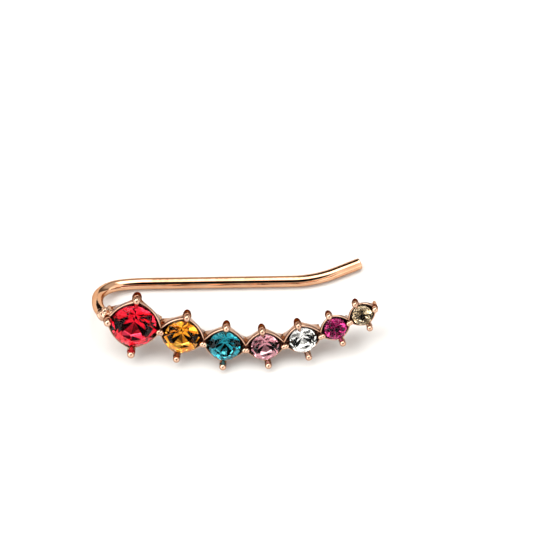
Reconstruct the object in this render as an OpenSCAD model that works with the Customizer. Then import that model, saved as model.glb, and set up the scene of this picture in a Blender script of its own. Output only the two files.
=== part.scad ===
// Hook earring with a climbing row of seven stones, lying as it rests on a table.
// Every setting is drawn from its front and then leaned back with the whole row.
// Lengths are in millimetres and angles in degrees.

/* [Ruby setting] */
// Diameter of the ruby stone
ruby_d = 4.0; // [3.7:0.1:4.0]
// Width across the side prongs of the ruby setting
ruby_span = 4.62; // [4.62:0.02:4.9]
// Heading of the ruby setting along the row
ruby_heading = -10.5; // [-13:0.5:-8]
// Turn of the ruby setting's top and bottom prongs against its side prongs
ruby_twist = 5; // [2:1:8]
// How far the ruby setting faces to the right of straight ahead
ruby_yaw = -3; // [-5:0.5:-1]

/* [Amber setting] */
// Diameter of the amber stone
amber_d = 3.1; // [2.9:0.1:3.1]
// Width across the side prongs of the amber setting
amber_span = 3.92; // [3.9:0.02:4.1]
// Heading of the amber setting along the row
amber_heading = -16.5; // [-19:0.5:-14]
// Turn of the amber setting's top and bottom prongs against its side prongs
amber_twist = 4; // [1:1:7]
// How far the amber setting faces to the right of straight ahead
amber_yaw = -2.5; // [-4.5:0.5:-0.5]

/* [Teal setting] */
// Diameter of the teal stone
teal_d = 2.8; // [2.6:0.1:2.9]
// Width across the side prongs of the teal setting
teal_span = 3.72; // [3.6:0.02:3.8]
// Heading of the teal setting along the row
teal_heading = -8.5; // [-11:0.5:-6]
// Turn of the teal setting's top and bottom prongs against its side prongs
teal_twist = 4; // [1:1:7]
// How far the teal setting faces to the right of straight ahead
teal_yaw = -1.5; // [-3:0.5:0]

/* [Lilac setting] */
// Diameter of the lilac stone
lilac_d = 2.5; // [2.3:0.1:2.6]
// Width across the side prongs of the lilac setting
lilac_span = 3.42; // [3.34:0.02:3.5]
// Heading of the lilac setting along the row
lilac_heading = 4; // [1.5:0.5:6.5]
// Turn of the lilac setting's top and bottom prongs against its side prongs
lilac_twist = 5; // [2:1:8]
// How far the lilac setting faces to the right of straight ahead
lilac_yaw = 4.5; // [3:0.5:6]

/* [Clear setting] */
// Diameter of the clear stone
clear_d = 2.4; // [2.2:0.1:2.5]
// Width across the side prongs of the clear setting
clear_span = 3.34; // [3.3:0.02:3.5]
// Heading of the clear setting along the row
clear_heading = 13; // [10:0.5:16]
// Turn of the clear setting's top and bottom prongs against its side prongs
clear_twist = 3; // [0:1:6]
// How far the clear setting faces to the right of straight ahead
clear_yaw = 8; // [6:0.5:10]

/* [Fuchsia setting] */
// Diameter of the fuchsia stone
fuchsia_d = 2.0; // [1.8:0.1:2.0]
// Width across the side prongs of the fuchsia setting
fuchsia_span = 2.68; // [2.68:0.02:2.8]
// Heading of the fuchsia setting along the row
fuchsia_heading = 24; // [21:0.5:27]
// Turn of the fuchsia setting's top and bottom prongs against its side prongs
fuchsia_twist = 0; // [-3:1:3]
// How far the fuchsia setting faces to the right of straight ahead
fuchsia_yaw = 11; // [9:0.5:13]
// How far the fuchsia setting faces further up than the rest of the row
fuchsia_tilt = 10; // [6:1:14]

/* [Khaki setting] */
// Diameter of the khaki stone
khaki_d = 1.8; // [1.6:0.1:1.8]
// Width across the side prongs of the khaki setting
khaki_span = 2.5; // [2.5:0.02:2.6]
// Heading of the khaki setting along the row
khaki_heading = 28.5; // [26:0.5:31]
// Turn of the khaki setting's top and bottom prongs against its side prongs
khaki_twist = 1; // [-2:1:4]
// How far the khaki setting faces to the right of straight ahead
khaki_yaw = 7; // [5:0.5:9]
// How far the khaki setting faces further up than the rest of the row
khaki_tilt = 11; // [7:1:15]

/* [Settings] */
// Least depth of a basket, before the share that grows with its stone
basket_base = 1.3; // [1.2:0.05:1.5]
// Depth added to a basket for each millimetre of stone
basket_growth = 0.38; // [0.34:0.01:0.42]
// How far the rim stands outside the stone between two prongs
rim_out = 0.18; // [0.16:0.01:0.2]
// How far the opening in the rim stands outside the stone between two prongs
rim_in = 0.05; // [0.03:0.01:0.06]
// How far the front edge of the rim lies behind the prong tips
rim_drop = 0.45; // [0.44:0.01:0.5]
// How far the girdle of a stone lies behind the prong tips
girdle_drop = 0.27; // [0.26:0.01:0.32]
// Thickness of the basket wall at its back edge
back_wall = 0.3; // [0.25:0.01:0.35]
// How far the back edge curves in between two prongs
scallop = 0.14; // [0.1:0.01:0.18]

/* [Hook] */
// Diameter of the ear wire
wire_d = 1.0; // [0.9:0.05:1.1]
// Clear gap for the ear lobe between the ruby basket and the wire
lobe_gap = 3.7; // [3.5:0.1:4.2]
// Radius of the wire where it leaves the setting
root_radius = 4.2; // [3.8:0.1:4.6]
// Turn of the wire where it leaves the setting
root_turn = 31; // [27:1:34]
// Radius of the wire's main bend
bend_radius = 2.7; // [2.4:0.05:2.8]
// Turn that is left for the long easy bend into the straight stretch
ease_turn = 12; // [10:1:14]
// Radius of that easy bend
ease_radius = 12; // [10:1:14]
// Length of the straight stretch behind the row
straight_l = 12.3; // [11.5:0.1:13]
// Turn by which the straight stretch splays away from the row
splay = 1; // [0:0.5:2]
// Radius of the outward bend near the tip
tip_radius = 9.5; // [8:0.5:12]
// Turn of that outward bend
tip_turn = 23; // [18:1:28]
// Length of the straight tip that enters the ear
tip_l = 2.4; // [2:0.1:3]

/* [Rest] */
// How far the faces of the stones lean back from upright
lean = 30; // [28:0.5:32]

/* [Hidden] */
$fn = 48;

metal = [0.89, 0.62, 0.47];
stone_d = [ruby_d, amber_d, teal_d, lilac_d, clear_d, fuchsia_d, khaki_d];
span = [ruby_span, amber_span, teal_span, lilac_span, clear_span, fuchsia_span, khaki_span];
heading = [ruby_heading, amber_heading, teal_heading, lilac_heading, clear_heading,
           fuchsia_heading, khaki_heading];
yaw = [ruby_yaw, amber_yaw, teal_yaw, lilac_yaw, clear_yaw, fuchsia_yaw, khaki_yaw];
twist = [ruby_twist, amber_twist, teal_twist, lilac_twist, clear_twist, fuchsia_twist, khaki_twist];
tilt = [0, 0, 0, 0, 0, fuchsia_tilt, khaki_tilt];
last = len(stone_d) - 1;
wire_r = wire_d / 2;

// Sizes of setting i that follow from its stone
function girdle_r(i) = stone_d[i] / 2;
function half_span(i) = span[i] / 2;
function half_reach(i) = 0.65 * stone_d[i] + 0.1;
function depth(i) = basket_base + basket_growth * stone_d[i];
function tip_r(i) = 0.24 + 0.024 * stone_d[i];
function side_tip_r(i) = 0.8 * tip_r(i);
function taper(i) = 0.05 + 0.24 * stone_d[i];

// A stone's girdle is a thin band, and its crown rises inwards from it no steeper than this
function half_girdle(d) = 0.015 * d;
crown_slope = 0.86;

// Places in the upright row: x along it, y up and z towards the viewer, from the ruby's outer
// corner. turned() takes a place in setting i as drawn from its front.
function turned(i, p) = let(
    up = p[1] * cos(tilt[i]) + p[2] * sin(tilt[i]),
    out = p[2] * cos(tilt[i]) - p[1] * sin(tilt[i]),
    x = p[0] * cos(heading[i]) - up * sin(heading[i]),
    y = p[0] * sin(heading[i]) + up * cos(heading[i]))
    [x * cos(yaw[i]) + out * sin(yaw[i]), y, out * cos(yaw[i]) - x * sin(yaw[i])];
function joint(i) = i == 0 ? [0, 0, 0] : joint(i - 1) + turned(i - 1, [span[i - 1], 0, 0]);
function centre(i) = joint(i) + turned(i, [half_span(i), 0, 0]);
function below(i, reach, out) =
    centre(i) + turned(i, [reach * sin(twist[i]), -reach * cos(twist[i]), out]);

// The leaned row rests on the back end of its lowest bottom prong, on the table z = 0
function leaned(p) = [p[0], p[1] * sin(lean) - p[2] * cos(lean), p[1] * cos(lean) + p[2] * sin(lean)];
function rib_r(i) = 0.19 + 0.058 * stone_d[i];
function rib_end_drop(i) = rib_r(i) / 2 * sin(90 - lean + atan2(taper(i), depth(i)));
function heel(i) = leaned(below(i, half_reach(i) - taper(i), -depth(i)))[2] - rib_end_drop(i);
row_lift = -min([for (i = [0:last]) heel(i)]);
row_front = min([for (i = [0:last]) leaned(below(i, half_reach(i), 0))[1] - tip_r(i)]);
row_right = joint(last + 1)[0] + tip_r(last);

// The wire starts beside the ruby's outer corner, half way back, in a drop of solder, and
// comes down to the table behind the row
root_depth = 1.5;
root_aside = 0.3;
solder_over = 0.06;
wire_lap = 0.05;
stretch = 0.003;
root = leaned([-root_aside, 0, -root_depth]) + [0, 0, row_lift];
wire_behind = lobe_gap + wire_r + depth(0);
wire_y = (wire_behind + (wire_r - row_lift) * sin(lean)) / cos(lean);
hook_slope = atan2(root[2] - wire_r, wire_y - root[1]);
hook_reach = norm([root[2] - wire_r, wire_y - root[1]]);
main_turn = 90 - ease_turn;
bend_drop = bend_radius * sin(main_turn);
ease_drop = ease_radius * (1 - cos(ease_turn));
root_run = hook_reach - root_radius * sin(root_turn) - bend_drop - ease_drop;
wire_left = root[0] - root_radius * (1 - cos(root_turn));
straight_x = wire_left + bend_radius * (1 - cos(main_turn)) + ease_radius * sin(ease_turn);
tip_back = straight_l * sin(splay) + tip_radius * (cos(splay) - cos(splay + tip_turn))
    + tip_l * sin(splay + tip_turn) + wire_r * cos(splay + tip_turn);

// The origin is the middle of the whole earring's box, on the table
shift = [-(wire_left - wire_r + row_right) / 2, -(row_front + wire_y + tip_back) / 2, 0];

// Baskets reach over the joint to their neighbours in front and at the back, and their top and
// bottom corners end inside the prongs. The rim is rim_wall thick there, and the seat slopes
// in from it to a round ledge through the height of the band.
front_lap = 0.12;
back_lap = 0.02;
back_corner_in = 0.06;
rim_wall = 0.14;
ledge = 0.3;
band_h = 0.25;
band_draw = 0.1;
function front_corner_in(i) = 0.12 + 0.04 * stone_d[i];

// Outline of a basket at one depth, eight points to each side. w and t are its reach to the
// side and top corners, and mid is how far its sides stand from the centre.
side_steps = 8;
function outline(w, t, mid) = let(
    flat = w * t / norm([w, t]),
    bow = (mid - flat) * [t, w] / norm([w, t]),
    side = [for (k = [0:side_steps - 1]) let(u = k / side_steps)
        [w * (1 - u), t * u] + 4 * u * (1 - u) * bow])
    concat(side,
        [for (k = [0:side_steps - 1]) let(q = k == 0 ? [0, t] : side[side_steps - k]) [-q[0], q[1]]],
        [for (q = side) -q],
        [for (k = [0:side_steps - 1]) let(q = k == 0 ? [0, t] : side[side_steps - k]) [q[0], -q[1]]]);

// One closed wall through a loop of rings, each [outline, height]
module ring_wall(rings) {
    steps = 4 * side_steps;
    count = len(rings);
    polyhedron(
        points = [for (r = rings) for (q = r[0]) [q[0], q[1], r[1]]],
        faces = [for (j = [0:count - 1]) for (k = [0:steps - 1])
            let(a = j * steps, b = ((j + 1) % count) * steps, n = (k + 1) % steps)
            each [[a + k, b + k, a + n], [a + n, b + k, b + n]]]);
}

// Basket of setting i: a rim just behind the girdle, a seat that narrows under the stone, and
// walls that draw in to a scalloped back edge
module basket(i) {
    g = girdle_r(i);
    w = half_span(i) + front_lap;
    t = half_reach(i) - front_corner_in(i);
    back_w = half_span(i) + back_lap;
    back_t = half_reach(i) - back_corner_in - taper(i);
    back_mid = back_w * back_t / norm([back_w, back_t]) - scallop;
    hollow = 1 - back_wall / back_mid;
    band = rim_drop + band_h;
    ring_wall([
        [outline(back_w, back_t, back_mid), -depth(i)],
        [outline(w, t - band_draw, g + rim_out), -band],
        [outline(w, t, g + rim_out), -rim_drop],
        [outline(w - rim_wall, t - rim_wall, g + rim_in), -rim_drop],
        [outline(g - ledge, g - ledge, g - ledge), -band],
        [outline(back_w * hollow, back_t * hollow, back_mid - back_wall), -depth(i)]]);
}

// Half-round rib down a corner, from its tip at reach front to a thin end at reach back
module rib(front, back, thick, deep) {
    run = norm([front - back, deep]);
    translate([front, 0, 0]) rotate([0, 180 + atan2(front - back, deep), 0])
        cylinder(r1 = thick, r2 = thick / 2, h = run);
}

// How far a claw reaches over the edge of the stone and stays clear of it, and how far the
// side prongs stand inside a joint, with the thickness of their ribs against their tips
claw_over = 0.1;
claw_gap = 0.03;
joint_inset = 0.11;
side_rib = 0.6;

// Top or bottom prong: rib, polished tip and the claw that reaches over the stone's edge
module claw_prong(i) {
    claw_r = 0.45 * tip_r(i);
    claw_in = girdle_r(i) - claw_over;
    claw_up = claw_r + half_girdle(stone_d[i]) + crown_slope * claw_over + claw_gap - girdle_drop;
    rib(half_reach(i), half_reach(i) - taper(i), rib_r(i), depth(i));
    translate([half_reach(i), 0, 0]) sphere(r = tip_r(i));
    translate([claw_in, 0, claw_up]) rotate([0, 90, 0]) cylinder(r = claw_r, h = half_reach(i) - claw_in);
}

// Side prong. Two smaller ones stand side by side where settings meet, each a little inside
// the joint, and a full one closes either end of the row.
module side_prong(i, closes) {
    at = half_span(i) - (closes ? 0 : joint_inset);
    size = closes ? tip_r(i) : side_tip_r(i);
    rib(at, at, side_rib * size, depth(i));
    translate([at, 0, 0]) sphere(r = size);
}

module setting(i) {
    basket(i);
    for (a = [90, 270]) rotate(a + twist[i]) claw_prong(i);
    side_prong(i, i == last);
    rotate(180) side_prong(i, i == 0);
}

// Stands a shape in the place of setting i, leaned with the row
module in_row(i) {
    translate([0, 0, row_lift] + shift) rotate([90 - lean, 0, 0])
        translate(centre(i)) rotate([0, yaw[i], 0]) rotate(heading[i]) rotate([-tilt[i], 0, 0])
            children();
}

// Arc of wire from the origin towards +X, turned to its left, or to its right if turn < 0.
// Bending stretches the wire, so an arc is a hair thinner than a straight run.
module wire_arc(radius, turn) {
    mirror([0, turn < 0 ? 1 : 0, 0]) translate([0, radius, 0]) rotate(-90)
        rotate_extrude(angle = abs(turn)) translate([radius, 0]) circle(r = wire_r - stretch);
}

// Wire from the origin towards +X through steps of [straight run, bend radius, bend turn].
// Every straight run reaches a little into the bends beside it, also where it is no longer
// than that.
module wire_run(steps, i = 0) {
    if (i < len(steps)) {
        run = steps[i][0];
        radius = steps[i][1];
        turn = steps[i][2];
        if (run > 0 || i > 0) translate([-wire_lap, 0, 0]) rotate([0, 90, 0])
            cylinder(r = wire_r, h = run + (radius > 0 ? 2 : 1) * wire_lap);
        translate([run, 0, 0]) {
            if (turn != 0) wire_arc(radius, turn);
            translate([radius * sin(abs(turn)), sign(turn) * radius * (1 - cos(turn)), 0])
                rotate(turn) wire_run(steps, i + 1);
        }
    }
}

// The wire lies on the table behind the row, and its J bend climbs to the ruby setting
module ear_hook() {
    translate([straight_x, wire_y, wire_r] + shift) {
        rotate(splay) wire_run([[straight_l, tip_radius, tip_turn], [tip_l, 0, 0]]);
        rotate([180 - hook_slope, 0, 0]) rotate(180)
            wire_run([[0, ease_radius, -ease_turn], [0, bend_radius, -main_turn],
                      [root_run, root_radius, -root_turn]]);
    }
    translate(root + shift) sphere(r = wire_r + solder_over);
}

module hook_and_settings() {
    color(metal) {
        for (i = [0:last]) in_row(i) setting(i);
        ear_hook();
    }
}

// Round stone cut with a table, 8 star, 8 kite and 16 girdle facets over a thin girdle, and
// 8 main with 16 half facets below. Its girdle is in the plane z = 0.
module cut_stone(d) {
    r = d / 2;
    table_r = 0.56 * r;
    star_r = 0.78 * r;
    crown_h = 0.3 * r;
    star_h = 0.62 * crown_h;
    half_r = 0.42 * r;
    pavilion_h = 0.92 * r;
    half_h = 0.46 * pavilion_h;
    band = half_girdle(d);
    crown = band + crown_h;
    polyhedron(
        points = concat(
            [for (k = [0:7]) [table_r * cos(45 * k), table_r * sin(45 * k), crown]],
            [for (k = [0:7]) [star_r * cos(45 * k + 22.5), star_r * sin(45 * k + 22.5),
                band + star_h]],
            [for (k = [0:15]) [r * cos(22.5 * k), r * sin(22.5 * k), band]],
            [for (k = [0:15]) [r * cos(22.5 * k), r * sin(22.5 * k), -band]],
            [for (k = [0:7]) [half_r * cos(45 * k + 22.5), half_r * sin(45 * k + 22.5),
                -band - pavilion_h + half_h]],
            [[0, 0, -band - pavilion_h]]),
        faces = concat(
            [[for (k = [7:-1:0]) k]],
            [for (k = [0:7]) [k, (k + 1) % 8, 8 + k]],
            [for (k = [0:7]) [k, 8 + k, 16 + 2 * k]],
            [for (k = [0:7]) [k, 16 + 2 * k, 8 + (k + 7) % 8]],
            [for (k = [0:7]) [8 + k, 16 + 2 * k + 1, 16 + 2 * k]],
            [for (k = [0:7]) [8 + k, 16 + (2 * k + 2) % 16, 16 + 2 * k + 1]],
            [for (k = [0:15]) [16 + k, 16 + (k + 1) % 16, 32 + (k + 1) % 16]],
            [for (k = [0:15]) [16 + k, 32 + (k + 1) % 16, 32 + k]],
            [for (k = [0:7]) [32 + 2 * k, 32 + 2 * k + 1, 48 + k]],
            [for (k = [0:7]) [32 + 2 * k + 1, 32 + (2 * k + 2) % 16, 48 + k]],
            [for (k = [0:7]) [48 + k, 32 + (2 * k + 2) % 16, 56]],
            [for (k = [0:7]) [32 + (2 * k + 2) % 16, 48 + (k + 1) % 8, 56]]));
}

module set_stone(i, tint) {
    color(tint) in_row(i) translate([0, 0, -girdle_drop]) cut_stone(stone_d[i]);
}

module ruby_stone() { set_stone(0, [0.86, 0.06, 0.18]); }
module amber_stone() { set_stone(1, [0.9, 0.62, 0.12]); }
module teal_stone() { set_stone(2, [0.06, 0.52, 0.6]); }
module lilac_stone() { set_stone(3, [0.72, 0.46, 0.54]); }
module clear_stone() { set_stone(4, [0.92, 0.94, 0.96]); }
module fuchsia_stone() { set_stone(5, [0.78, 0.08, 0.5]); }
module khaki_stone() { set_stone(6, [0.62, 0.58, 0.4]); }

hook_and_settings();
ruby_stone();
amber_stone();
teal_stone();
lilac_stone();
clear_stone();
fuchsia_stone();
khaki_stone();
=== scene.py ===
import math
import bpy
from mathutils import Matrix, Vector, noise


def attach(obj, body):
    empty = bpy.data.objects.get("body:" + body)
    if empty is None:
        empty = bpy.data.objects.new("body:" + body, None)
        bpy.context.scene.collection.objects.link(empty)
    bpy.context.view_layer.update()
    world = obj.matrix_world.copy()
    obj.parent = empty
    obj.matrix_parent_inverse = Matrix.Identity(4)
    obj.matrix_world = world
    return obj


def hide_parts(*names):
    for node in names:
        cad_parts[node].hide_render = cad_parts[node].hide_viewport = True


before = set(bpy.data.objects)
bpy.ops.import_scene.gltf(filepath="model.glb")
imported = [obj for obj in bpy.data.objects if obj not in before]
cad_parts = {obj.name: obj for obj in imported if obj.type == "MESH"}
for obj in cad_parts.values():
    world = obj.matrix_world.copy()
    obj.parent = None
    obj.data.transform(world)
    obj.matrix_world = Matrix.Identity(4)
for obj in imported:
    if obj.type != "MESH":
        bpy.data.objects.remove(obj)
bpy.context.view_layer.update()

MM = 0.001

# The row drawn upright, in millimetres and degrees, from the largest stone to the smallest: each
# setting's width, how it is turned in the row, and how far the row then leans back from upright
STONES = ("ruby", "amber", "teal", "lilac", "clear", "fuchsia", "khaki")
STONE_D = (4.0, 3.1, 2.8, 2.5, 2.4, 2.0, 1.8)
SPAN = (4.62, 3.92, 3.72, 3.42, 3.34, 2.68, 2.5)
HEADING = (-10.5, -16.5, -8.5, 4, 13, 24, 28.5)
YAW = (-3, -2.5, -1.5, 4.5, 8, 11, 7)
TWIST = (5, 4, 4, 5, 3, 0, 1)
TILT = (0, 0, 0, 0, 0, 10, 11)
LAST = len(STONES) - 1
LEAN = 30

# A basket: its rim around the stone, its walls down to the open back, how far it laps over a joint, and
# the steps along each of its four sides
RIM_OUT, RIM_IN, RIM_DROP, RIM_WALL, LEDGE = 0.18, 0.05, 0.45, 0.14, 0.3
BACK_WALL, SCALLOP, BAND_H, BAND_DRAW, WALL_BULGE = 0.3, 0.14, 0.25, 0.1, 0.06
WALL_STEPS = (0.3, 0.6, 0.85)
FRONT_LAP, BACK_LAP, BACK_CORNER_IN, SIDE_STEPS = 0.12, 0.02, 0.06, 20

# Its edges: steps inwards, each with the height above the back, or the depth below the rim, where it is made
BACK_EDGE = ((0.05, 0.0), (0.015, 0.015), (0.0, 0.05))
RIM_ROUND, RIM_TOP = 0.09, 0.1
SEAT_EDGE = ((-0.03, 0.0), (-0.008, 0.01), (0.02, 0.035))
HOLLOW_EDGE = 0.02

# A prong: the profiles of its stem and hood, with radii as shares of their thickness, and sizes by place
STEM = ((0.1, 0), (0.12, 0.6), (0.2, 0.85), (0.35, 0.86), (0.55, 0.78), (0.75, 0.67), (0.9, 0.56),
        (0.97, 0.45), (0.995, 0.3), (1, 0))
HOOD_HEAD = ((0.0, 0), (0.01, 0.5), (0.04, 0.78), (0.1, 0.96), (0.2, 1.03))
HOOD_POINT = (0.995, 0.12)
HOOD_START, HOOD_SLANT, HOOD_CURVE = 0.55, 0.06, 2.4
HOOD_LONG, HOOD_SHORT, LOWER_HOOD_SLIM = 1.25, 1.0, 0.84
JOINT_INSET, JOINT_BEAD, JOINT_STEM = 0.11, 0.8, 0.6
POINT_R = 0.002

# A claw that holds a stone: how far it laps over it, its gap to it, its share of the bead, and its profile
CLAW_LAP, CLAW_GAP, CLAW_SHARE, CLAW_SLANT, CLAW_SIT = 0.1, 0.03, 0.45, 0.3, 0.9
CLAW_HEAD = ((0, 0), (0.02, 0.5), (0.08, 0.85), (0.2, 1.1))
CLAW_BODY = ((0.6, 1.5), (1, 1.8))

# A stone: heights and radii as shares of its radius, half its band as a share of its diameter, the slope
# of its crown, and how far its facets are turned
GIRDLE_DROP, GIRDLE_BAND, CROWN_STEEP = 0.27, 0.015, 0.86
TABLE_R, STAR_R, STAR_UP, CROWN_UP, PAVILION_DOWN = 0.56, 0.78, 0.62, 0.3, 0.92
FACETS_TURNED = (0, 17, 34, 6, 0, 23, 22)

# The ear wire, with each bend as a radius and a turn
WIRE_R, LOBE_GAP, ROOT_DEPTH, ROOT_ASIDE = 0.5, 3.7, 1.5, 0.3
ROOT_RADIUS, ROOT_TURN, BEND_RADIUS, EASE_TURN, EASE_RADIUS = 4.2, 31, 2.7, 12, 12
STRAIGHT_L, SPLAY, TIP_RADIUS, TIP_TURN, TIP_L = 12.3, 1, 9.5, 23, 2.4
PATH_STEP, TURN_STEP, WIRE_SIDES = 0.12, 3, 64

# The broken edge of its tip, as distances back from the end and how much thinner the wire is there
TIP_EDGE = ((0.09, 0.0), (0.05, 0.006), (0.02, 0.024), (0.0, 0.06))

# Lumps of solder, as a place in the ruby setting, a radius and a place in the noise; the first is at the
# wire's root. Then how uneven they are, and how much their poles are drawn in
SOLDER = ((None, 0.6, 1.0), ((-1.9, 0.36, -0.98), 0.4, 5.0), ((-2.05, 0.1, -1.2), 0.5, 9.0))
UNEVEN, UNEVEN_FINE, POLE_IN, POLE_FLAT = 0.3, 2.1, 0.999, 0.02

# Edges that turn by less than this many degrees are smooth; at 0 every face is flat
SETTING_SMOOTH, WIRE_SMOOTH, SOLDER_SMOOTH, STONE_SMOOTH = 38, 40, 60, 0

# The picture: how far the camera is, what it looks at, how high it stands and how wide it sees
CAMERA_FAR, CAMERA_UP, VIEW_WIDE = 2000, 60, 46.37
LOOK_AT = (2.742, 5.148, 0)

# The studio: the table's half side and where it turns grey as painted shade, in metres, and the strength of its
# lights
TABLE_HALF, GREY_FROM, GREY_FULL = 3.0, 0.095, 0.13
BOX_LIGHT, WEAK_BOX, LENS_DARK = 4.2, 0.45, 0.99

# Painted reflection: each stone's colour painted on the plating next to it, standing in for the colour that
# plating mirrors
PAINTED_STONE_REFLECTION = ((0.36, 0.015, 0.02, 1), (0.16, 0.04, 0.015, 1), (0.03, 0.07, 0.07, 1), (0.26, 0.11, 0.09, 1),
        (0.30, 0.18, 0.13, 1), (0.28, 0.05, 0.09, 1), (0.26, 0.16, 0.10, 1))

# Each stone's glass, and its foil in a light and a deep tone
COLOURS = (((0.88, 0.20, 0.29, 1), (0.90, 0.25, 0.33, 1), (0.72, 0.10, 0.16, 1)),
           ((0.94, 0.70, 0.25, 1), (0.90, 0.66, 0.30, 1), (0.74, 0.46, 0.20, 1)),
           ((0.27, 0.62, 0.66, 1), (0.30, 0.66, 0.70, 1), (0.16, 0.48, 0.53, 1)),
           ((0.80, 0.61, 0.64, 1), (0.82, 0.63, 0.66, 1), (0.64, 0.46, 0.48, 1)),
           ((0.97, 0.96, 0.93, 1), (0.95, 0.95, 0.94, 1), (0.72, 0.72, 0.71, 1)),
           ((0.62, 0.27, 0.43, 1), (0.74, 0.30, 0.52, 1), (0.24, 0.05, 0.14, 1)),
           ((0.82, 0.74, 0.65, 1), (0.80, 0.74, 0.63, 1), (0.26, 0.22, 0.16, 1)))


def sin(angle):
    return math.sin(math.radians(angle))


def cos(angle):
    return math.cos(math.radians(angle))


def girdle_r(i):
    return STONE_D[i] / 2


def half_reach(i):
    """From a setting's centre to its upper and lower prong"""
    return 0.65 * STONE_D[i] + 0.1


def corner_in(i):
    """How far the rim's upper and lower corner stand inside the prongs"""
    return 0.12 + 0.04 * STONE_D[i]


def depth(i):
    return 1.3 + 0.38 * STONE_D[i]


def tip_r(i):
    """Radius of a prong's bead"""
    return 0.24 + 0.024 * STONE_D[i]


def taper(i):
    """How far the upper and lower prong draw in towards the back"""
    return 0.05 + 0.24 * STONE_D[i]


def rib_r(i):
    """Radius of a prong's stem"""
    return 0.19 + 0.058 * STONE_D[i]


def facing(i):
    """How setting i is turned in the upright row"""
    return (Matrix.Rotation(math.radians(YAW[i]), 4, 'Y') @ Matrix.Rotation(math.radians(HEADING[i]), 4, 'Z')
            @ Matrix.Rotation(math.radians(-TILT[i]), 4, 'X'))


def turned(i, p):
    return facing(i) @ Vector(p)


def joint(i):
    """Where setting i begins, and the one before it ends"""
    return Vector((0, 0, 0)) if i == 0 else joint(i - 1) + turned(i - 1, (SPAN[i - 1], 0, 0))


def centre(i):
    return joint(i) + turned(i, (SPAN[i] / 2, 0, 0))


def below(i, reach, out):
    """A point on the line from the centre of setting i to its lower prong"""
    return centre(i) + turned(i, (reach * sin(TWIST[i]), -reach * cos(TWIST[i]), out))


def leaned(p):
    """A point of the upright row where it leans on the table"""
    return Vector((p[0], p[1] * sin(LEAN) - p[2] * cos(LEAN), p[1] * cos(LEAN) + p[2] * sin(LEAN)))


def heel(i):
    """Height of the lowest point of setting i before the row is lifted onto the table"""
    slant = 90 - LEAN + math.degrees(math.atan2(taper(i), depth(i)))
    return leaned(below(i, half_reach(i) - taper(i), -depth(i)))[2] - rib_r(i) / 2 * sin(slant)


# How the row and the wire lie on the table, and the shift that puts the middle of their box on the origin
row_lift = -min(heel(i) for i in range(LAST + 1))
row_front = min(leaned(below(i, half_reach(i), 0))[1] - tip_r(i) for i in range(LAST + 1))
row_right = joint(LAST + 1)[0] + tip_r(LAST)
root = leaned((-ROOT_ASIDE, 0, -ROOT_DEPTH)) + Vector((0, 0, row_lift))
wire_y = (LOBE_GAP + WIRE_R + depth(0) + (WIRE_R - row_lift) * sin(LEAN)) / cos(LEAN)
hook_slope = math.degrees(math.atan2(root[2] - WIRE_R, wire_y - root[1]))
hook_reach = math.hypot(root[2] - WIRE_R, wire_y - root[1])
main_turn = 90 - EASE_TURN
root_run = (hook_reach - ROOT_RADIUS * sin(ROOT_TURN) - BEND_RADIUS * sin(main_turn)
            - EASE_RADIUS * (1 - cos(EASE_TURN)))
wire_left = root[0] - ROOT_RADIUS * (1 - cos(ROOT_TURN))
straight_x = wire_left + BEND_RADIUS * (1 - cos(main_turn)) + EASE_RADIUS * sin(EASE_TURN)
tip_back = (STRAIGHT_L * sin(SPLAY) + TIP_RADIUS * (cos(SPLAY) - cos(SPLAY + TIP_TURN))
            + TIP_L * sin(SPLAY + TIP_TURN) + WIRE_R * cos(SPLAY + TIP_TURN))
shift = Vector((-(wire_left - WIRE_R + row_right) / 2, -(row_front + wire_y + tip_back) / 2, 0))


def setting_place(i):
    """Where setting i stands, from its own front view to the leaned row on the table"""
    return (Matrix.Translation(shift + Vector((0, 0, row_lift)))
            @ Matrix.Rotation(math.radians(90 - LEAN), 4, 'X') @ Matrix.Translation(centre(i)) @ facing(i))


class Number:
    """A number that varies over a surface; arithmetic with it adds Math nodes"""

    def __init__(self, finish, socket):
        self.finish, self.socket = finish, socket

    def math(self, operation, *values):
        return self.finish.node("Math", {"operation": operation}, dict(enumerate(values)))

    def __add__(self, other):
        return self.math('ADD', self, other)

    def __sub__(self, other):
        return self.math('SUBTRACT', self, other)

    def __rsub__(self, other):
        return self.math('SUBTRACT', other, self)

    def __mul__(self, other):
        return self.math('MULTIPLY', self, other)

    def __truediv__(self, other):
        return self.math('DIVIDE', self, other)

    __radd__ = __add__

    def rise(self, low, high):
        """Soft step from 0 at low to 1 at high"""
        return self.finish.node("MapRange", {"interpolation_type": 'SMOOTHSTEP'},
                                {"Value": self, "From Min": low, "From Max": high})


class Finish:
    """The node tree of a material or of the studio around it"""

    def __init__(self, owner):
        owner.use_nodes = True
        self.tree = owner.node_tree
        self.tree.nodes.clear()

    def node(self, kind, settings, sockets, output=0):
        """One node of any type: its settings are set first, then its sockets"""
        node = self.tree.nodes.new("ShaderNode" + kind)
        for name, value in settings.items():
            setattr(node, name, value)
        for name, value in sockets.items():
            if isinstance(value, Number):
                self.tree.links.new(value.socket, node.inputs[name])
            else:
                node.inputs[name].default_value = value
        return Number(self, node.outputs[output]) if node.outputs else None

    def mix(self, mask, first, second):
        return self.node("Mix", {"data_type": 'RGBA'}, {0: mask, 6: first, 7: second}, 2)

    def skin(self, sockets):
        """Surface with these settings, as the material's output"""
        surface = self.node("BsdfPrincipled", {}, sockets)
        self.node("OutputMaterial", {}, {"Surface": surface})

    def place(self):
        """Where a point is on the object, in metres"""
        return self.node("TexCoord", {}, {}, "Object")

    def mottle(self, size, detail, stretch=(1, 1, 1)):
        """Noise with spots of a size in millimetres"""
        spots = self.node("VectorMath", {"operation": 'MULTIPLY'}, {0: self.place(), 1: stretch})
        return self.node("TexNoise", {}, {"Vector": spots, "Scale": 1 / (size * MM), "Detail": detail})


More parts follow.
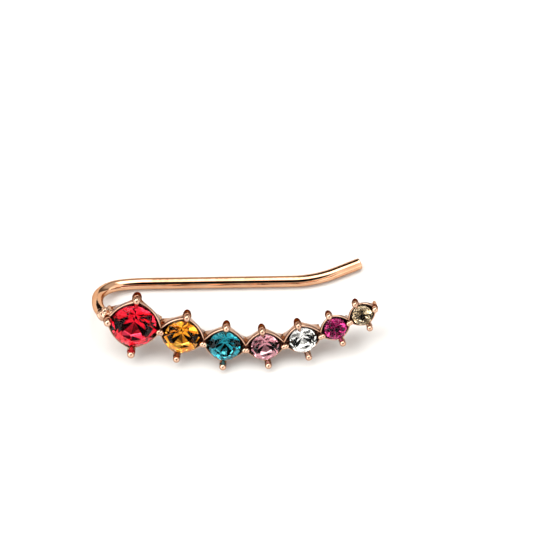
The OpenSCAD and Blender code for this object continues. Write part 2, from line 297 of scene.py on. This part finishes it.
def rose_gold(name, light, deep):
    """Polished plating: a little deeper in tone in patches, with faint ripples and fine wiping marks"""
    material = bpy.data.materials.new(name)
    gold = Finish(material)
    tone = gold.mottle(1.6, 3).rise(0.35, 0.68)
    wiping = gold.mottle(0.12, 3, (1, 6, 6)).rise(0.45, 0.75)
    ripple = gold.mottle(0.7, 1)
    relief = gold.node("Bump", {}, {"Strength": 1.0, "Distance": 0.004 * MM,
                                    "Height": ripple + wiping * 0.03})
    gold.skin({"Base Color": gold.mix(tone, light, deep), "Specular Tint": (0.66, 0.50, 0.40, 1),
               "Metallic": 1.0, "Roughness": 0.055 + wiping * 0.05 + tone * 0.02, "Normal": relief})
    return material


def painted_shade_seat_gold():
    """Plating inside a seat: painted shade, dark because the recess lies in shadow, with a mottle of glue
    stains
    """
    material = bpy.data.materials.new("seat_plating_painted_shade")
    seat_shade_finish = Finish(material)
    stain = seat_shade_finish.mottle(0.35, 3).rise(0.35, 0.65)
    # Both tones are painted shade; the mottle between them is glue stain
    seat_shade_finish.skin({"Base Color": seat_shade_finish.mix(stain, (0.16, 0.07, 0.045, 1), (0.07, 0.03, 0.02, 1)),
               "Metallic": 1.0, "Roughness": 0.2 + stain * 0.12})
    return material


def painted_prong_gold(i, stone_reflection):
    """Plating of a prong beside its bead: brown painted shade with a tarnish mottle away from the bead, and a
    painted reflection of the stone's colour close to it
    """
    material = bpy.data.materials.new("prong_painted_shade_reflection_" + STONES[i])
    prong = Finish(material)
    stain = prong.mottle(0.35, 3).rise(0.35, 0.65)
    # An outer side prong stands closer than the others, so the middle is moved away from it
    inward = 0.125 * STONE_D[i] * ((i == 0) - (i == LAST))
    middle = [v * MM for v in setting_place(i) @ Vector((inward, 0, -GIRDLE_DROP))]
    away = prong.node("VectorMath", {"operation": 'DISTANCE'}, {0: prong.place(), 1: middle}, "Value")
    blend = 0.02 * STONE_D[i]
    far_shade = away.rise((half_reach(i) - 0.06 - blend) * MM, (half_reach(i) + 0.02 + blend) * MM)
    # Painted shade: the brown stands in for the dark the hoods mirror; near the bead the colour is a painted
    # reflection of the stone
    painted_shade_brown = prong.mix(stain, (0.27, 0.13, 0.08, 1), (0.16, 0.072, 0.04, 1))
    prong.skin({"Base Color": prong.mix(far_shade, stone_reflection, painted_shade_brown), "Specular Tint": (0.25, 0.12, 0.08, 1),
                "Metallic": 1.0, "Roughness": 0.07 + stain * 0.1})
    return material


def stone_glass(name, tint):
    """Cut glass with a colour of its own, not quite wiped clean"""
    material = bpy.data.materials.new(name + "_glass")
    glass = Finish(material)
    wiped = glass.mottle(0.5, 3).rise(0.55, 0.8)
    glass.skin({"Base Color": tint, "Transmission Weight": 1.0, "IOR": 1.56,
                "Specular Tint": (0.12, 0.12, 0.12, 1), "Roughness": wiped * 0.02})
    return material


def stone_foil(name, light, deep):
    """Mirror foil behind the pavilion, seen through the glass, a little uneven in colour"""
    material = bpy.data.materials.new(name + "_foil")
    foil = Finish(material)
    patch = foil.mottle(0.3, 2).rise(0.45, 0.6)
    foil.skin({"Base Color": foil.mix(patch, light, deep), "Metallic": 1.0,
               "Roughness": 0.02 + patch * 0.02})
    return material


class Shell:
    """Points and faces of one piece, in millimetres, with a material for each face"""

    def __init__(self):
        self.points, self.faces, self.slots = [], [], []

    def add(self, points, faces, place=Matrix(), slot=0):
        start = len(self.points)
        self.points += [place @ Vector(p) for p in points]
        self.faces += [[start + k for k in face] for face in faces]
        self.slots += [slot] * len(faces)

    def loft(self, rings, place=Matrix(), loop=False, slot=0):
        """Skin over closed rings of one length; the ends are closed unless the rings make a loop"""
        n = len(rings[0])
        pairs = len(rings) if loop else len(rings) - 1
        faces = [[j * n + k, j * n + (k + 1) % n, (j + 1) % len(rings) * n + (k + 1) % n,
                  (j + 1) % len(rings) * n + k] for j in range(pairs) for k in range(n)]
        if not loop:
            faces += [list(range(n - 1, -1, -1)), list(range((len(rings) - 1) * n, len(rings) * n))]
        self.add([p for ring in rings for p in ring], faces, place, slot)

    def turn(self, profile, start, axis, place=Matrix(), sides=32, slot=0):
        """Round body along an axis, from a list of (distance, radius)"""
        axis = Vector(axis).normalized()
        across = axis.orthogonal().normalized()
        beside = axis.cross(across)
        spokes = [across * cos(360 * k / sides) + beside * sin(360 * k / sides) for k in range(sides)]
        self.loft([[Vector(start) + axis * s + spoke * r for spoke in spokes] for s, r in profile],
                  place, slot=slot)

    def piece(self, name, materials, smooth, slot, *nodes):
        """The finished piece, with edges under smooth degrees shaded smooth"""
        mesh = bpy.data.meshes.new(name)
        mesh.from_pydata([p * MM for p in self.points], [], self.faces)
        for material in materials:
            mesh.materials.append(material)
        mesh.polygons.foreach_set("material_index", self.slots)
        mesh.polygons.foreach_set("use_smooth", [smooth > 0] * len(self.faces))
        mesh.update()
        if smooth > 0:
            mesh.set_sharp_from_angle(angle=math.radians(smooth))
        body = bpy.data.objects.new(name, mesh)
        bpy.context.scene.collection.objects.link(body)
        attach(body, "root")
        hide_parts(*nodes)


def outline(w, t, mid, z):
    """Ring of a basket at height z: corners at w and t, sides that bow to mid from the centre"""
    length = math.hypot(w, t)
    bow = (mid - w * t / length) / length
    side = [(w * (1 - u) + 4 * u * (1 - u) * bow * t, t * u + 4 * u * (1 - u) * bow * w)
            for u in (k / SIDE_STEPS for k in range(SIDE_STEPS))]
    over = [(0, t)] + side[:0:-1]
    ring = side + [(-x, y) for x, y in over] + [(-x, -y) for x, y in side] + [(x, -y) for x, y in over]
    return [(x, y, z) for x, y in ring]


def basket(shell, i):
    """Rim, seat and walls of setting i, with its edges softened by polishing"""
    g, d = girdle_r(i), depth(i)
    w, t = SPAN[i] / 2 + FRONT_LAP, half_reach(i) - corner_in(i)
    back_w, back_t = SPAN[i] / 2 + BACK_LAP, half_reach(i) - BACK_CORNER_IN - taper(i)
    back_mid = back_w * back_t / math.hypot(back_w, back_t) - SCALLOP
    hollow = 1 - BACK_WALL / back_mid
    band = RIM_DROP + BAND_H
    mid, hole_w, hole_t, hole, deep = g + RIM_OUT, w - RIM_WALL, t - RIM_WALL, g + RIM_IN, g - LEDGE
    rings = [outline(back_w - cut, back_t - cut, back_mid - cut, -d + up) for cut, up in BACK_EDGE]
    for u in WALL_STEPS:
        bulge = WALL_BULGE * u * (1 - u) * 4
        rings.append(outline(back_w + (w - back_w) * u, back_t + (t - BAND_DRAW - back_t) * u,
                             back_mid + (mid - back_mid) * u + bulge, -d + (d - band) * u))
    rings += [outline(w, t - BAND_DRAW, mid, -band), outline(w, t, mid, -RIM_DROP - RIM_TOP)]
    below_rim = len(rings) - 2
    for a in range(18, 91, 18):
        curve = RIM_ROUND * (1 - cos(a))
        rings.append(outline(w - curve, t - curve, mid - curve, -RIM_DROP - RIM_ROUND * (1 - sin(a))))
    inside = len(rings)
    rings += [outline(hole_w - cut, hole_t - cut, hole - cut, -RIM_DROP - down) for cut, down in SEAT_EDGE]
    rings.append(outline(deep, deep, deep, -band))
    back_wall = len(rings)
    rings += [outline(back_w * hollow + cut, back_t * hollow + cut, back_mid - BACK_WALL + cut, -d + up)
              for cut, up in ((0, BACK_EDGE[-1][1]), (HOLLOW_EDGE, 0))]
    shell.loft(rings, setting_place(i), True)
    # The band just under the rim and the seat inside it take the seat's painted shade: a dark line under the
    # rim and dark in the seat
    around = 4 * SIDE_STEPS
    for k in (below_rim, *range(inside, back_wall)):
        shell.slots[k * around:(k + 1) * around] = [1] * around


def prong(shell, i, angle, reach, back, bead, rib, hood=0.0, slim=1.0, stem_slot=0):
    """One prong: a bead at its tip, a stem that thins to the back, and a pointed hood of this length if any"""
    place = setting_place(i) @ Matrix.Rotation(math.radians(angle), 4, 'Z')
    ball = [(-bead * cos(a), max(bead * sin(a), POINT_R)) for a in range(0, 181, 12)]
    shell.turn(ball, (reach, 0, 0), (0, 0, 1), place)
    run = math.hypot(reach - back, depth(i))
    axis = ((back - reach) / run, 0, -depth(i) / run)
    stem = [(along * run, max(wide * rib, POINT_R)) for along, wide in STEM]
    shell.turn(stem, (reach, 0, 0), axis, place, slot=stem_slot)
    if hood:
        thick = rib * slim
        head, full = HOOD_HEAD[-1]
        bullet = [(along, max(wide * thick, POINT_R)) for along, wide in HOOD_HEAD]
        bullet += [(head + (hood - head) * u, thick * full * math.sqrt(1 - u ** HOOD_CURVE))
                   for u in (k / 12 for k in range(1, 12))]
        bullet += [(hood * HOOD_POINT[0], thick * HOOD_POINT[1]), (hood, POINT_R)]
        shell.turn(bullet, (reach, 0, -HOOD_START * bead), (-HOOD_SLANT, 0, -1), place, slot=2)


def claw(shell, i, angle, reach, bead):
    """Finger from a prong's bead over the edge of the stone"""
    place = setting_place(i) @ Matrix.Rotation(math.radians(angle), 4, 'Z')
    over = girdle_r(i) - CLAW_LAP
    thick = CLAW_SHARE * bead
    up = CLAW_SIT * thick + GIRDLE_BAND * STONE_D[i] + CROWN_STEEP * CLAW_LAP + CLAW_GAP - GIRDLE_DROP
    finger = [(along, max(wide * thick, POINT_R)) for along, wide in CLAW_HEAD]
    finger += [(along * (reach - over), wide * thick) for along, wide in CLAW_BODY]
    shell.turn(finger, (over, 0, up), (1, 0, -CLAW_SLANT), place, 24, 2)


def setting(i, gold, seat_shade, painted_prong_plating):
    """Basket with its upper, lower and side prongs; a side prong in a joint is small and has no hood"""
    shell = Shell()
    basket(shell, i)
    reach = half_reach(i)
    for angle, slim in ((90, 1.0), (270, LOWER_HOOD_SLIM)):
        prong(shell, i, angle + TWIST[i], reach, reach - taper(i), tip_r(i), rib_r(i), HOOD_LONG, slim)
        claw(shell, i, angle + TWIST[i], reach, tip_r(i))
    for angle, closes in ((0, i == LAST), (180, i == 0)):
        if closes:
            prong(shell, i, angle, SPAN[i] / 2, SPAN[i] / 2, tip_r(i), rib_r(i), HOOD_SHORT)
        else:
            at, size = SPAN[i] / 2 - JOINT_INSET, tip_r(i) * JOINT_BEAD
            # A joint prong's stem takes the seat's painted shade, drawing a dark seam between the settings
            prong(shell, i, angle, at, at, size, JOINT_STEM * size, stem_slot=1)
    # Its materials: plating, the seat's painted shade, and the prongs' painted shade and painted stone
    # reflection on hoods and claws
    shell.piece(STONES[i] + "_setting", [gold, seat_shade, painted_prong_plating], SETTING_SMOOTH, "rose_gold",
                "hook_and_settings")


def trace(steps):
    """Points along a flat path from the origin towards +X, from steps of a straight run, a radius and a turn"""
    at, heading = Vector((0, 0, 0)), 0.0
    path = [at]
    for run, radius, turn in steps:
        count = max(1, round(run / PATH_STEP)) if run else 0
        for k in range(count):
            at = at + Vector((cos(heading), sin(heading), 0)) * (run / count)
            path.append(at)
        count = max(1, round(abs(turn) / TURN_STEP)) if turn else 0
        for k in range(count):
            part = turn / count
            chord = 2 * radius * sin(abs(part) / 2)
            at = at + Vector((cos(heading + part / 2), sin(heading + part / 2), 0)) * chord
            heading += part
            path.append(at)
    return path


def wire_path():
    """Middle line of the whole wire, from the ruby setting round the J bend to the tip"""
    begin = Vector((straight_x, wire_y, WIRE_R)) + shift
    hook = Matrix.Rotation(math.radians(180 - hook_slope), 4, 'X') @ Matrix.Rotation(math.pi, 4, 'Z')
    bends = trace([(0, EASE_RADIUS, -EASE_TURN), (0, BEND_RADIUS, -main_turn),
                   (root_run, ROOT_RADIUS, -ROOT_TURN)])
    back = trace([(STRAIGHT_L, TIP_RADIUS, TIP_TURN), (TIP_L, 0, 0)])
    level = Matrix.Rotation(math.radians(SPLAY), 4, 'Z')
    return [begin + hook @ at for at in bends[:0:-1]] + [begin + level @ at for at in back]


def ear_wire(gold):
    """Round wire along its path, cut square at the tip with its edge just broken"""
    path = wire_path()
    last = len(path) - 1
    across = Vector((0, 0, 1))
    rings = []
    for k, at in enumerate(path):
        along = (path[min(k + 1, last)] - path[max(k - 1, 0)]).normalized()
        across = (across - along * across.dot(along)).normalized()
        rings.append((at, along, across, 0.0))
    end, along, across, _ = rings[last]
    rings[last - 1:] = [(end - along * before, along, across, cut) for before, cut in TIP_EDGE]
    angles = [360 * k / WIRE_SIDES for k in range(WIRE_SIDES)]
    shell = Shell()
    shell.loft([[at + (up * cos(a) + run.cross(up) * sin(a)) * (WIRE_R - cut) for a in angles]
                for at, run, up, cut in rings])
    shell.piece("ear_wire", [gold], WIRE_SMOOTH, "rose_gold", "hook_and_settings")


def solder_drop(gold):
    """Uneven drop of solder where the wire meets the ruby setting: lumps with a small flat at their poles"""
    shell = Shell()
    for corner, size, seed in SOLDER:
        at = setting_place(0) @ Vector(corner) if corner else root + shift
        rings = []
        for a in range(0, 181, 9):
            ring = []
            for k in range(40):
                out = Vector((sin(a) * cos(9 * k), sin(a) * sin(9 * k), cos(a)))
                lump = 1 + UNEVEN * noise.noise(out * UNEVEN_FINE + Vector((seed, 0, 0)))
                ring.append(at + out * (size * lump * (1 if 0 < a < 180 else POLE_IN)))
            rings.append(ring)
        for pole, next_to in ((0, 1), (-1, -2)):
            rings[pole] = [p + (q - p) * POLE_FLAT for p, q in zip(rings[pole], rings[next_to])]
        shell.loft(rings)
    shell.piece("solder_drop", [gold], SOLDER_SMOOTH, "rose_gold", "hook_and_settings")


def cut_stone(i, glass, foil):
    """Round stone, set turned: table, star, kite and girdle facets above, eight broad facets on foil below"""
    r, band = girdle_r(i), GIRDLE_BAND * STONE_D[i]
    crown_h = CROWN_UP * r

    def ring(count, radius, z, offset=0.0):
        return [(radius * cos(360 * k / count + offset), radius * sin(360 * k / count + offset), z)
                for k in range(count)]

    points = (ring(8, TABLE_R * r, band + crown_h) + ring(8, STAR_R * r, band + STAR_UP * crown_h, 22.5)
              + ring(16, r, band) + ring(16, r, -band) + [(0, 0, -band - PAVILION_DOWN * r)])
    crown, pavilion = [list(range(8))], []
    for k in range(8):
        after = (k + 1) % 8
        crown += [[k, 8 + k, after], [k, 8 + (k + 7) % 8, 16 + 2 * k], [k, 16 + 2 * k, 8 + k],
                  [8 + k, 16 + 2 * k, 17 + 2 * k], [8 + k, 17 + 2 * k, 16 + (2 * k + 2) % 16]]
        low = 32 + (2 * k + 2) % 16
        pavilion += [[48, low, 32 + 2 * k], [32 + 2 * k, low, 33 + 2 * k]]
    for k in range(16):
        crown.append([16 + k, 32 + k, 32 + (k + 1) % 16, 16 + (k + 1) % 16])
    place = (setting_place(i) @ Matrix.Translation((0, 0, -GIRDLE_DROP))
             @ Matrix.Rotation(math.radians(FACETS_TURNED[i]), 4, 'Z'))
    shell = Shell()
    shell.add(points, crown + pavilion, place)
    shell.slots = [0] * len(crown) + [1] * len(pavilion)
    name = STONES[i]
    shell.piece(name + "_cut_stone", [glass, foil], STONE_SMOOTH, name + "_glass", name + "_stone")


def white_table():
    """White table, turned grey far from the earring as painted shade, where only the metal mirrors it"""
    table = bpy.data.meshes.new("white_table")
    corners = [(-TABLE_HALF, -TABLE_HALF, 0), (TABLE_HALF, -TABLE_HALF, 0),
               (TABLE_HALF, TABLE_HALF, 0), (-TABLE_HALF, TABLE_HALF, 0)]
    table.from_pydata(corners, [], [(0, 1, 2, 3)])
    floor = bpy.data.objects.new("white_table", table)
    bpy.context.scene.collection.objects.link(floor)
    material = bpy.data.materials.new("white_table")
    white = Finish(material)
    grain = white.mottle(0.9, 2)
    away = white.node("VectorMath", {"operation": 'LENGTH'}, {0: white.place()}, "Value")
    # Painted shade: the table far away is grey, so it shows dark in the metal's reflections
    far_shade = away.rise(GREY_FROM, GREY_FULL)
    sheet = white.mix(grain, (0.715, 0.705, 0.685, 1), (0.735, 0.725, 0.705, 1))
    white.skin({"Base Color": white.mix(far_shade, sheet, (0.12, 0.12, 0.12, 1)), "Roughness": 0.8})
    table.materials.append(material)


def soft_studio():
    """Soft light boxes in a pale room, as the world's own light: dark only around the lens"""
    world = bpy.data.worlds.new("soft_studio")
    bpy.context.scene.world = world
    room = Finish(world)
    way = room.node("TexCoord", {}, {}, "Generated")
    x, y, z = (room.node("SeparateXYZ", {}, {0: way}, k) for k in range(3))
    up = z.math('MAXIMUM', z, 0.05)
    across, along = x / up, y / up

    # Light boxes in a ceiling one unit up: overhead, to the left, and a weaker one at the back left
    overhead = (along.rise(-0.06, 0.04) * (1 - along.rise(0.95, 1.25))
                * across.rise(-0.03, 0.01) * (1 - across.rise(0.4, 0.6)))
    aside = (along.rise(-0.4, -0.2) * (1 - along.rise(0.3, 0.42))
             * across.rise(-2.0, -1.7) * (1 - across.rise(-0.1, 0)))
    behind = (along.rise(0.2, 0.4) * (1 - along.rise(0.9, 1.1))
              * across.rise(-1.15, -0.95) * (1 - across.rise(-0.3, -0.2)))
    box = (overhead + aside + behind * WEAK_BOX) * z.rise(0.1, 0.2)
    toward_camera = y * -cos(CAMERA_UP) + z * sin(CAMERA_UP)
    lens = toward_camera.rise(0.912, 0.944)

    # The room: bright to both sides and low in front, dim low at the back and on the back's left side
    back = y.rise(-0.05, 0.3)
    front = (1 - back) * (0.55 + x.rise(0.12, 0.4) + (1 - x.rise(-0.4, -0.12)) * 1.4
                          + (1 - z.rise(0.1, 0.5)) * 0.9)
    dim = back * (1 - z.rise(0.1, 0.4)) * 0.8
    left = back * (1 - x.rise(-0.06, -0.01)) * (1 - z.rise(0.88, 0.95)) * 0.92
    level = (front + back * 0.8) * (1 - dim) * (1 - left)
    light = room.node("Background", {}, {"Color": (1.0, 0.995, 0.985, 1),
                                         "Strength": (level + box * BOX_LIGHT) * (1 - lens * LENS_DARK)})
    room.node("OutputWorld", {}, {"Surface": light})


def studio_camera():
    """Far camera with a long lens, so that the picture has next to no perspective"""
    lens_data = bpy.data.cameras.new("studio_camera")
    lens_data.sensor_width = 36
    lens_data.lens = lens_data.sensor_width * CAMERA_FAR / VIEW_WIDE
    camera = bpy.data.objects.new("studio_camera", lens_data)
    camera.location = (Vector(LOOK_AT) + Vector((0, -cos(CAMERA_UP), sin(CAMERA_UP))) * CAMERA_FAR) * MM
    camera.rotation_euler = (math.radians(90 - CAMERA_UP), 0, 0)
    bpy.context.scene.collection.objects.link(camera)
    bpy.context.scene.camera = camera
    bpy.context.scene.view_settings.view_transform = 'Standard'


white_table()
soft_studio()
studio_camera()
wire_plating = rose_gold("rose_gold_wire", (0.68, 0.395, 0.24, 1), (0.62, 0.33, 0.19, 1))
plating = rose_gold("rose_gold_settings", (0.60, 0.385, 0.275, 1), (0.48, 0.29, 0.20, 1))
seat_painted_shade = painted_shade_seat_gold()
for number in range(LAST + 1):
    setting(number, plating, seat_painted_shade, painted_prong_gold(number, PAINTED_STONE_REFLECTION[number]))
ear_wire(wire_plating)
solder_drop(plating)
for number, (tint, light, deep) in enumerate(COLOURS):
    cut_stone(number, stone_glass(STONES[number], tint), stone_foil(STONES[number], light, deep))
